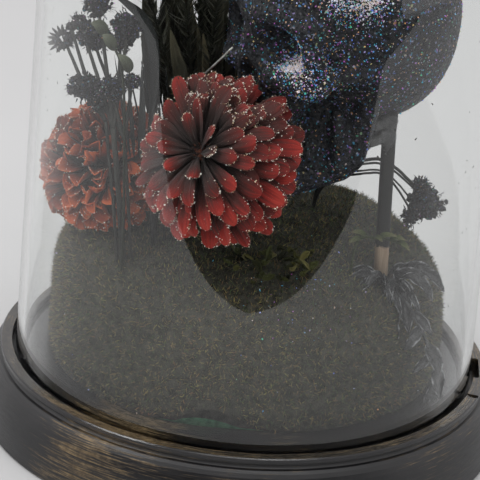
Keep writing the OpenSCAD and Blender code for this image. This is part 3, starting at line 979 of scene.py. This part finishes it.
def flower(name, centre, tilt, rows, look, slot, nodes, rng, tips, cups, hooks, twists, core=None):
    """A bloom of petals. rows: count, length, width, elevation, curl, height and foot radius, and where
    a row is only part of a ring, the middle and half the width of its arc in degrees. tips gathers
    places for glitter on the rims.
    """
    axes = flower_axes(tilt)
    faces = grid_faces(PETAL_ROWS, PETAL_COLS)
    soup = Soup()
    for row, (count, length, width, elevation, curl, height, foot, *arc) in enumerate(rows):
        for k in range(count):
            turn = 360 * (k + 0.5 * (row % 2) + rng.uniform(-0.34, 0.34)) / count + 17 * row
            if arc:
                turn = arc[0] + arc[1] * rng.uniform(-1, 1)
            points, share = petal(
                length * rng.uniform(0.90, 1.05),
                width * rng.uniform(0.80, 1.20),
                elevation + rng.uniform(-7, 7),
                curl + rng.uniform(-14, 12),
                rng.uniform(*cups),
                rng.uniform(*hooks),
                rng,
            )
            roll = math.radians(rng.uniform(-twists, twists))
            c, s = math.cos(roll), math.sin(roll)
            points[:, 1:] = points[:, 1:] @ np.array([[c, s], [-s, c]])
            points = spin(points + [foot, 0, height], turn) @ axes.T + centre
            # tone is the share along the petal, a little lower on inner rows, brighter at the tips of petals
            # turned one way and darker on the other side; the dark feet and inner rows are partly painted
            # shade.
            tone = share * (0.95 - 0.012 * row) + 0.09 * share**2 * math.cos(math.radians(turn))
            soup.add(points, faces, tone=tone, seed=rng.random(), side=PETAL_SIDE)
            edge = points.reshape(PETAL_ROWS, PETAL_COLS, 3)
            grains = 34 if arc or not core else rng.integers(2, 24)
            i = rng.integers(PETAL_ROWS - 6, PETAL_ROWS - 1, grains)
            j = rng.choice([0, PETAL_COLS - 1], grains)
            u = rng.random((grains, 1))
            rim = edge[i, j] * u + edge[i + 1, j] * (1 - u)
            tips.append(rim + axes[:, 2] * 0.25 + rng.normal(size=(grains, 3)) * 0.24)
            i, j = rng.integers(5, PETAL_ROWS - 1, 4), rng.integers(0, PETAL_COLS, 4)
            tips.append(edge[i, j] + axes[:, 2] * 0.35 + rng.normal(size=(4, 3)) * 0.25)
    if core:
        points, faces = copies(BALL[2], [(0, 0, 0)], 1.0, stretch=core)
        soup.add(points @ axes.T + centre, faces, tone=0.35)
    return soup.build(name, look, slot, replaces=nodes, thick=0.4, fine=1)


def eye(name, centre, tilt, radius, height, slot, node, rng):
    """A flower's eye: small florets packed in a spiral."""
    axes = flower_axes(tilt)
    n = 70
    k = np.arange(n) + 0.5
    r, a = radius * np.sqrt(k / n), k * math.radians(137.5)
    z = height + 0.35 * radius * (1 - (r / radius) ** 2)
    places = np.stack([r * np.cos(a), r * np.sin(a), z], 1)
    points, faces = copies(BALL[1], places, rng.uniform(0.55, 0.9, n), rng, 0.15, (1, 1, 1.6))
    soup = Soup()
    soup.add(points @ axes.T + centre, faces, tone=np.repeat(rng.random(n), len(BALL[1][0])))
    soup.add(*tube(np.array([[0, 0, -8], [0, 0, height]]) @ axes.T + centre, radius * 0.7, 16), tone=0.1)
    soup.build(name, floret_look, slot, replaces=[node])


def sepals(name, centre, tilt, length, slot, node, rng):
    axes = flower_axes(tilt)
    soup = Soup()
    faces = grid_faces(PETAL_ROWS, PETAL_COLS)
    for row in range(3):
        for k in range(9):
            size = length * (1 - 0.16 * row)
            points, share = petal(size, size * 0.42, -18 - 12 * row, 28, 0.5, -20, rng, 0.8)
            points = spin(points + [2.2, 0, -2 - 1.8 * row], 40 * k + 13 * row + rng.uniform(-6, 6))
            soup.add(points @ axes.T + centre, faces, tone=share, seed=rng.random())
    cup = np.array([[0, 0, -1.6], [0, 0, -4], [0, 0, -7], [0, 0, -9.5]]) @ axes.T + centre
    soup.add(*tube(cup, [4.6, 5.2, 4.2, 1.8], 16), tone=0.3)
    soup.build(name, sepal_look, slot, replaces=[node], thick=0.5)


ZINNIA_ROWS = (
    (24, 35.5, 8.4, -18, -34, 0.5, 4),
    (24, 36, 8.4, -8, -32, 2.0, 4),
    (22, 35.5, 8.2, 1, -30, 3.6, 4),
    (20, 33, 8.2, 9, -30, 5.2, 4),
    (18, 30.5, 8.0, 17, -30, 6.8, 4),
    (14, 27, 7.8, 25, -30, 8.4, 4),
    (10, 22, 7.6, 33, -30, 10.0, 3.2),
    (6, 15, 6.0, 50, -20, 11.0, 2.2),
    (17, 15, 6.4, 22, -46, 7.0, 19, 180, 52),
    (17, 14, 6.0, 32, -46, 8.5, 16, 180, 46),
    (13, 13, 5.6, 44, -46, 10.0, 12.5, 180, 40),
)
MUM_CORE = (15.5, 15.5, 9.5)
MUM_ROWS = tuple(
    (
        max(5, round(38 * math.sin(math.radians(polar)))),
        14 + 5.5 * math.cos(math.radians(polar)) ** 2,
        6.8,
        90 - polar,
        -16,
        MUM_CORE[2] * math.cos(math.radians(polar)),
        MUM_CORE[0] * math.sin(math.radians(polar)),
    )
    for polar in (112, 101, 90, 79, 68, 57, 46, 35, 24, 13, 4)
)


def flowers():
    rng = np.random.default_rng(31)
    tips = []

    def petal_nodes(kind):
        return [f"{kind}_petals_{part}" for part in ("back", "mid", "front")]

    flower(
        "zinnia_bloom", ZINNIA, ZINNIA_TILT, ZINNIA_ROWS, zinnia_look, "zinnia", petal_nodes("zinnia"),
        rng, tips, (-0.7, 0.3), (-60, 15), 22,
    )
    flower(
        "mum_bloom", MUM, MUM_TILT, MUM_ROWS, mum_look, "mum", petal_nodes("mum"),
        rng, tips, (0.5, 1.6), (-70, 120), 38, MUM_CORE,
    )
    eye("zinnia_florets", ZINNIA, ZINNIA_TILT, 5, 9.5, "zinnia", "zinnia_eye", rng)
    eye("mum_florets", MUM, MUM_TILT, 4, 9, "mum", "mum_eye", rng)
    sepals("zinnia_sepals", ZINNIA, ZINNIA_TILT, 15, "stem", "zinnia_calyx", rng)
    sepals("mum_sepals", MUM, MUM_TILT, 12, "stem", "mum_calyx", rng)
    at = np.concatenate(tips)
    n = len(at)
    sizes = rng.uniform(0.15, 0.32, n) * rng.choice([0.7, 1, 1.4], n)
    flakes("flower_glitter", gold_look, "zinnia", at, sizes, rng, lambda: rng.random(n) ** 0.7)


flowers()


# ---------- stems, sprays, foliage ----------


def add_stem(soup, points, thick, thin, count=18, sides=8, wobble=0.0, rng=None, tone=0.3):
    line = curve(points, count)
    if wobble:
        line[1:-1] += rng.normal(size=(count - 2, 3)) * wobble
    soup.add(*tube(line, np.linspace(thick, thin, count), sides), tone=tone)
    return line


def stems():
    rng = np.random.default_rng(41)
    for kind, points, top in (
        ("zinnia", [(-6, -34, 72), (-6.5, -36, 100), (-8, -41, 124)], ZINNIA + [4.2, 6.4, -4.3]),
        ("mum", [(-44, 6, 72), (-46, 6, 92), (-51, 6, 103)], MUM + [4.6, 4.2, -3.6]),
    ):
        soup = Soup()
        add_stem(soup, [*points, top], 1.7, 1.4, 20, 10, 0.08, rng)
        soup.build(kind + "_stalk", stem_look, "stem", replaces=[kind + "_stem"])


def umbel(soup, centre, radius, way, rng):
    """One dried head: a dense crumbly cushion of small knobs with short pointed bracts round it."""
    n = int(17 * radius)
    spots = unit(rng.normal(size=(n, 3))) * rng.uniform(0.35, 1.0, (n, 1)) ** 0.5 * radius * [1, 1, 0.72]
    spots += rng.normal(size=(n, 3)) * 0.06 * radius
    places = centre + spots
    size = rng.uniform(0.13, 0.22, n) * max(radius, 4.5) * rng.choice([0.75, 1, 1.2], n)
    soup.add(*copies(BALL[1], places, size, rng, 0.35), tone=rng.random())
    foot = centre - way * radius * 0.9
    for place in places[:: max(1, n // 16)]:
        line = curve([foot, (foot + place) / 2 - [0, 0, 0.4], place], 5)
        soup.add(*tube(line, [0.5, 0.45, 0.4, 0.35, 0.3], 5))
    tips = centre + unit(rng.normal(size=(n, 3)) * [1, 1, 0.7]) * radius * rng.uniform(0.75, 1.02, (n, 1))
    ways = unit(tips - centre + rng.normal(size=(n, 3)) * 0.4)
    lengths, widths = rng.uniform(0.8, 2.4, n), rng.uniform(0.5, 1.0, n)
    soup.add(*blades(tips, ways, across(ways), lengths, widths, rng.normal(size=(n, 3)) * 0.4))
    return centre + (places - centre) * (1 + 0.25 * rng.random((n, 1)))


# Each spray's name, root, fork, stalk radius and heads; a head is its centre and radius.
SPRAYS = (
    (
        "outer", (-54.5, -41, 70), (-65.3, -35, 148), 0.8,
        ((-87.0, -8, 172.6, 4.6), (-76, -23, 158, 6.6), (-84.4, -9, 179, 1.7)),
    ),
    (
        "upper", (-52, -42, 70), (-62, -37, 146), 1.3,
        (
            (-74, -13, 177, 7.4), (-73.4, -11, 190, 6), (-59.5, -18, 185, 7),
            (-80, -12, 182.5, 4), (-62.5, -16, 177, 5),
        ),
    ),
    (
        "lower", (-49.5, -41, 70), (-57, -38, 142), 0.8,
        ((-64.6, -30, 161, 6), (-56, -26, 163, 4), (-69, -30, 154, 4.4)),
    ),
)


def sprays():
    rng = np.random.default_rng(51)
    stalks, dust = Soup(), []
    for part, root, fork, thick, heads in SPRAYS:
        root, fork = np.array(root, float), np.array(fork, float)
        soup = Soup()
        line = [root, root * 0.6 + fork * 0.4 + [0.8, -0.5, 0], fork]
        add_stem(stalks, line, thick, thick * 0.9, 22, 8, 0.1, rng)
        for x, y, z, r in heads:
            centre = np.array([x, y, z], float)
            way = unit(centre - fork)
            end = centre - way * r * 0.8
            line = [fork, (fork + end) / 2 + rng.normal(size=3) * 0.8, end]
            add_stem(stalks, line, 1.0, 0.65, 14, 7, 0.06, rng)
            dust.append(umbel(soup, centre, r, way, rng)[:: 1 if part == "lower" else 4])
        soup.build("umbel_cluster_" + part, umbel_look, "umbel", replaces=["umbel_spray_" + part])
    heart = np.array([-87.0, -8, 172.6])
    for a in np.linspace(100, 245, 9):
        a = math.radians(a + rng.uniform(-6, 6))
        way = np.array([math.cos(a), -0.15, math.sin(a)])
        line = heart + np.outer(np.linspace(2, rng.uniform(6.2, 7.6), 5), way)
        points, faces, share, side = ribbon(line, [1.3, 1.5, 1.4, 1.1, 0.3], (0, -1, 0), 0.4)
        stalks.add(points, faces, faces[:, ::-1], tone=share, side=side)
    soup = Soup()
    for drop, end, thick in ((0, 0, 0.85), (1.8, 1.2, 0.6), (5.0, 7.5, 0.5), (6.4, 13, 0.6)):
        root, bend = (24, 26 - drop, 72), (28, 20, 110 - drop)
        path = [root, bend, (47, 15, 121 - drop), (57, 10, 121.5 - 1.1 * drop), (69, 6, 113 - end)]
        add_stem(stalks, path, thick, thick * 0.8, 28, 7, 0.04, rng)
    umbel(soup, np.array([73.5, 5, 107.5]), 8.0, np.array([0.8, -0.5, -0.3]), rng)
    umbel(soup, np.array([67.5, 8, 99.0]), 4.2, np.array([0.3, 0.2, -0.9]), rng)
    umbel(soup, np.array([70.5, 4, 115.5]), 4.0, np.array([0.3, 0.2, 0.9]), rng)
    soup.build("umbel_cluster_right", umbel_look, "umbel", replaces=["umbel_spray_right"])
    stalks.build("umbel_stalks", stalk_look, "umbel")
    dust = np.concatenate(dust)
    # Most grains here take the near-white ends: partly white glitter and partly painted glints.
    tone = rng.choice([0.0, 0.15, 0.55, 1.0], len(dust), p=[0.4, 0.15, 0.1, 0.35])
    flakes("umbel_glitter", flake_colour_and_painted_glint_look, "umbel", dust, rng.uniform(0.14, 0.34, len(dust)), rng, tone)


def long_leaf(soup, line, width, face, cup, rng, rough=0.0, count=14):
    points, faces, share, side = ribbon(curve(line, count), leaf_widths(count, width), face, cup, rough, rng)
    soup.add(points, faces, tone=share, seed=rng.random(), side=side)


def foliage():
    rng = np.random.default_rng(61)
    soup = Soup()
    line = [(-53, -46, 72), (-56, -42, 130), (-60, -34, 170), (-68, -28, 184)]
    add_stem(soup, line, 0.6, 0.4, 24, 6, tone=-0.6)
    for line, width in (
        ([(-68, -28, 183), (-71, -27.5, 187), (-74.5, -27, 188)], 5.2),
        ([(-64, -31, 178), (-66.5, -30, 182), (-69.5, -29, 184)], 5.0),
        ([(-57, -38, 171.5), (-58.5, -38, 176), (-62, -37, 179)], 4.8),
    ):
        long_leaf(soup, line, width, (0.2, -0.9, 0.5), 0.5, rng)
    soup.build("olive_leaf_sprig", olive_look, "olive", replaces=["olive_leaves"], thick=0.35, fine=1)

    soup = Soup()
    for k in range(4):
        foot = np.array([-38 + 2 * k, -32, 72])
        tip = np.array([-58 + 5 * k, -24 + 2 * k, 168 + 3 * (k % 3)])
        bow = (foot + tip) / 2 + [rng.uniform(0, 4), rng.uniform(-1, 1), 0]
        add_stem(soup, [foot, bow, tip], 0.8, 0.3, 18, 6)
    add_stem(soup, [(-40, -33, 72), (-44, -32, 110), (-47.5, -31, 148)], 0.8, 0.6, 14, 6)
    line = [(-47.5, -31, 146), (-47, -29, 165), (-49, -27, 181), (-54, -25, 191), (-61, -24, 196.5)]
    line.append((-69, -23, 201))
    long_leaf(soup, line, 5.2, (0.6, -1, 0.1), 0.3, rng, 0.0, 26)
    for x, lean, height, width in (
        (-50.5, -2, 172, 3.0),
        (-55, -3, 168, 1.8),
        (-58, -6, 176, 1.5),
        (-46.5, 1.5, 176, 1.4),
    ):
        line = [(-50 + (x + 50) * 0.5, -34, 132), (x, -33, 150), (x + lean, -30, height)]
        long_leaf(soup, line, width, (rng.uniform(-0.3, 0.3), -1, 0), 0.3, rng, 0.0, 16)
    soup.build("grass_stalks", grass_look, "blade", replaces=["grass_blades"])

    soup = Soup()
    for k in range(5):
        foot = np.array([-28 + 3 * k, 12, 72.0])
        tip = np.array([-56 + 8 * k, -11 + 8 * (k % 2), 216 - 5 * abs(k - 2)])
        bow = (foot + tip) / 2 + [4 - 2 * k, 2, 4]
        line = add_stem(soup, [foot, bow, tip], 1.2, 0.5, 26, 6, 0.1, rng)
        n = 300
        at = rng.uniform(9, 24.9, n)
        i = at.astype(int)
        roots = line[i] + (line[i + 1] - line[i]) * (at - i)[:, None]
        along = unit(line[i + 1] - line[i])
        out = unit(np.cross(along, rng.normal(size=(n, 3))))
        ways = unit(along * rng.uniform(0.5, 1.1, (n, 1)) + out * 0.75)
        flat, lengths, widths = unit(np.cross(ways, along)), rng.uniform(6, 12, n), rng.uniform(0.7, 1.3, n)
        needles = blades(roots, ways, flat, lengths, widths, along * 0.4)
        soup.add(*needles, tone=np.repeat(rng.random(n), 5))
    soup.build("needle_sprigs", needle_look, "needles", replaces=["needle_foliage"])

    soup = Soup()
    for k in range(44):
        x = -51 + 48 * k / 43 + rng.uniform(-1.5, 1.5)
        y = rng.uniform(-2, 24)
        low = rng.uniform(112, 155)
        high = min(low + rng.uniform(40, 80), 215)
        sway = rng.uniform(-9, 9)
        root = np.array([-28 + 0.5 * (x + 28), 12, 72.0])
        middle = ((root[0] + x) / 2, (12 + y) / 2, (72 + low) / 2)
        add_stem(soup, [root, middle, (x, y, low)], 0.7, 0.6, 10, 5)
        end = (x + sway, y - rng.uniform(2, 7), high)
        line = [(x, y, low), (x + sway * 0.3, y - 3, (low + high) / 2), end]
        face = (rng.uniform(-0.9, 0.9), -1, rng.uniform(-0.1, 0.5))
        widths = leaf_widths(16, rng.uniform(3.5, 8))
        points, faces, share, side = ribbon(curve(line, 16), widths, face, 0.7, 0.10, rng)
        soup.add(points, faces, tone=share * rng.uniform(0.25, 0.85), seed=rng.random(), side=side)
    soup.build("dark_leaves", dark_leaf_look, "needles", thick=0.3)

    soup = Soup()
    line = [(-31, -22, 72), (-33, -24, 110), (-35, -26, 148), (-33.5, -28, 160), (-24.7, -31, 173)]
    line.append((-15.5, -33, 184.5))
    at = np.linspace(0, 5, 31)
    line = np.stack([np.interp(at, range(6), [p[axis] for p in line]) for axis in range(3)], 1)
    soup.add(*tube(line, np.linspace(0.7, 0.45, 31), 8), tone=0.3)
    soup.build("silvered_twig", twig_look, "twig", replaces=["silver_twig"])


def foot_plants():
    rng = np.random.default_rng(71)
    soup = Soup()
    hub = np.array([57.4, -25, 80.5])
    for reach, width, lift in (
        ((-18, -9, 1), 3.6, 5.5),
        ((-14, -16, -1), 3.8, 4.5),
        ((-7, -20, -9), 6.0, 4.0),
        ((-1, -21, -16), 7.0, 4.0),
        ((5, -20, -22), 8.0, 4.5),
        ((11, -17, -14), 8.5, 6.5),
        ((25, -3, 0), 6.0, 8.5),
        ((20, -9, -2), 6.0, 7.5),
        ((15, -14, -7), 4.0, 6.5),
        ((-19, -3, 1), 2.6, 6.5),
        ((12, 4, 3), 4.0, 6.0),
        ((-9, -12, 1), 3.6, 6.0),
        ((2, -14, -3), 4.4, 7.0),
    ):
        reach = np.array(reach, float)
        line = [hub, hub + reach * 0.45 + [0, 0, lift], hub + reach * 0.8 + [0, 0, lift * 0.6], hub + reach]
        long_leaf(soup, line, width, (0.1, -0.6, 0.8), rng.uniform(0.6, 1.2), rng, 0.12, 15)
    soup.add(*copies(BALL[2], [hub], 2.6, rng, 0.1))
    soup.build("black_foot_leaves", black_leaf_look, "blackleaf", replaces=["foot_leaves"], thick=0.4, fine=1)

    soup = Soup()
    trail = [(58, -27, 82), (67, -38, 78), (75, -44, 66), (80.5, -46, 52), (81, -45, 37)]
    line = add_stem(soup, trail, 0.9, 0.5, 30, 7, 0.12, rng)
    for i, reach, width in (
        (9, (9, -4, -9), 5.0),
        (12, (-6, -5, -10), 5.5),
        (16, (6, -3, -13), 6.5),
        (18, (-7, -4, -8), 4.5),
        (21, (3, -3, -13), 7.0),
        (25, (-4, -2, -9), 4.5),
        (27, (3, 0, -3), 4.0),
    ):
        foot, reach = line[i], np.array(reach, float)
        leaf = [foot, foot + reach * 0.5 + [0, -1.5, 1], foot + reach]
        long_leaf(soup, leaf, width, (0.3, -0.9, 0.3), 0.8, rng, 0.12, 10)
    vine = ["foot_vine"]
    soup.build("black_trailing_vine", black_leaf_look, "blackleaf", replaces=vine, thick=0.35, fine=1)

    soup = Soup()
    line = [(42, -31, 82), (42.6, -31, 96), (45, -31, 103.4), (54, -29, 103.4), (63, -27, 101)]
    add_stem(soup, line, 0.6, 0.3, 24, 6)
    for foot, reach in (
        ((52, -29.6, 103.2), (8, 0, 2)),
        ((48, -30, 103.4), (-7, 0, 2)),
        ((57, -28.5, 102.6), (7, -1, 1)),
        ((50, -30, 103.4), (4, -5, 1)),
        ((46, -30.5, 103), (-6, -4, -1)),
        ((60, -28, 101.6), (6, -3, -2)),
    ):
        foot, reach = np.array(foot), np.array(reach, float)
        leaf = [foot, foot + reach * 0.5 + [0, 0, 1], foot + reach]
        long_leaf(soup, leaf, 2.6, (0, -0.5, 0.9), 0.6, rng, 0.06, 8)
    soup.build("green_twiglet", green_look, "greenleaf", replaces=["green_sprig"], thick=0.3)

    soup = Soup()
    top = DECK + MOUND_H + 1.4
    for _ in range(46):
        foot = np.array([rng.uniform(-8, 26), rng.uniform(-60, -34), top + rng.uniform(-1.5, 1)])
        if foot[1] < -52:
            foot[2] -= 0.25 * (-52 - foot[1])
        length, turn = rng.uniform(2.5, 7), rng.uniform(0, 2 * math.pi)
        reach = np.array([math.cos(turn), math.sin(turn), rng.uniform(-0.1, 0.9)]) * length
        line = [foot, foot + reach * 0.5 + rng.normal(size=3) * 0.7, foot + reach]
        face = (rng.uniform(-0.6, 0.6), rng.uniform(-1, 0), 0.8)
        widths = leaf_widths(7, rng.uniform(1.2, 3.4))
        points, faces, share, side = ribbon(curve(line, 7), widths, face, 0.8, 0.18, rng)
        soup.add(points, faces, tone=rng.uniform(0.0, 0.85) ** 1.5, seed=rng.random(), side=side)
    soup.build("dried_leaf_litter", litter_look, "greenleaf", replaces=["leaf_litter"], thick=0.35)


stems()
sprays()
foliage()
foot_plants()


# ---------- stage, light, camera ----------


def flat_card(name, corners, material):
    mesh = bpy.data.meshes.new(name)
    mesh.from_pydata([Vector(c) for c in corners], [], [list(range(len(corners)))])
    mesh.materials.append(material)
    card = bpy.data.objects.new(name, mesh)
    scene.collection.objects.link(card)
    return card


floor_look = Look("pale_table")
floor_look.set(Base_Color=floor_look.ramp(floor_look.noise(4, 3), (0.3, 0.60), (0.7, 0.63)), Roughness=0.9)
floor_look.set(Specular_IOR_Level=0.1)
flat_card("table_top", [(-6, -6, 0), (6, -6, 0), (6, 6, 0), (-6, 6, 0)], floor_look.material)

# Two dark cards that only glossy rays see, so that the glass has a dark room to reflect.
room_look = Look("dark_room", Base_Color=(0.01, 0.01, 0.01), Roughness=1.0, Specular_IOR_Level=0.0).material
TABLE_EDGE = (
    (-3, -1.0), (-0.49, -0.405), (-0.32, -0.350), (0, -0.306), (0.29, -0.322), (0.5, -0.40), (3, -1.0)
)
WALL_CORNERS = ((-6.2, -0.3), (4.3, -0.3), (4.3, 1.5), (-6.2, 1.5))
floor_of_room = [(x, y, 0.001) for x, y in (*TABLE_EDGE, (3, -5), (-3, -5))]
dark = flat_card("dark_room_beyond_the_table", floor_of_room, room_look)
wall = flat_card("dark_wall_of_the_room", [(x, -2.3, z) for x, z in WALL_CORNERS], room_look)
for card in (dark, wall):
    for flag in ("camera", "diffuse", "transmission", "shadow", "volume_scatter"):
        setattr(card, "visible_" + flag, False)

world = bpy.data.worlds.new("soft_tent")
world.use_nodes = True
world.node_tree.nodes["Background"].inputs["Color"].default_value = (1.0, 0.99, 1.0, 1)
world.node_tree.nodes["Background"].inputs["Strength"].default_value = 0.89
scene.world = world


def soft_light(name, place, target, width, height, watts):
    light = bpy.data.lights.new(name, "AREA")
    light.shape = "RECTANGLE"
    light.energy, light.size, light.size_y = watts, width, height
    lamp = bpy.data.objects.new(name, light)
    lamp.location = place
    lamp.rotation_euler = (Vector(target) - Vector(place)).to_track_quat("-Z", "Y").to_euler()
    lamp.visible_transmission = False
    scene.collection.objects.link(lamp)


soft_light("right_window", (0.29, -0.51, 1.10), (0, 0, 0.03), 0.4, 0.07, 1.2)
soft_light("left_window", (-0.72, -0.24, 0.99), (0, 0, 0.03), 0.5, 0.11, 3.2)
soft_light("top_front", (-0.08, -0.55, 1.2), (0, 0, 0.06), 0.22, 0.22, 0.6)

CAMERA_PLACE = Vector((-0.005665, -1.39044, 0.68422))
CAMERA_PITCH, CAMERA_ROLL, CAMERA_LENS = 23.354, 4.967, 261.69
pitch, roll = math.radians(CAMERA_PITCH), math.radians(CAMERA_ROLL)
forward = Vector((0, math.cos(pitch), -math.sin(pitch)))
level = Vector((0, math.sin(pitch), math.cos(pitch)))
right = Vector((math.cos(roll), 0, 0)) + level * math.sin(roll)
top = level * math.cos(roll) - Vector((math.sin(roll), 0, 0))
camera_data = bpy.data.cameras.new("camera")
camera_data.lens, camera_data.sensor_width = CAMERA_LENS, 36
camera = bpy.data.objects.new("camera", camera_data)
camera.matrix_world = Matrix.Translation(CAMERA_PLACE) @ Matrix((right, top, -forward)).transposed().to_4x4()
scene.collection.objects.link(camera)
scene.camera = camera
scene.view_settings.view_transform = "Standard"
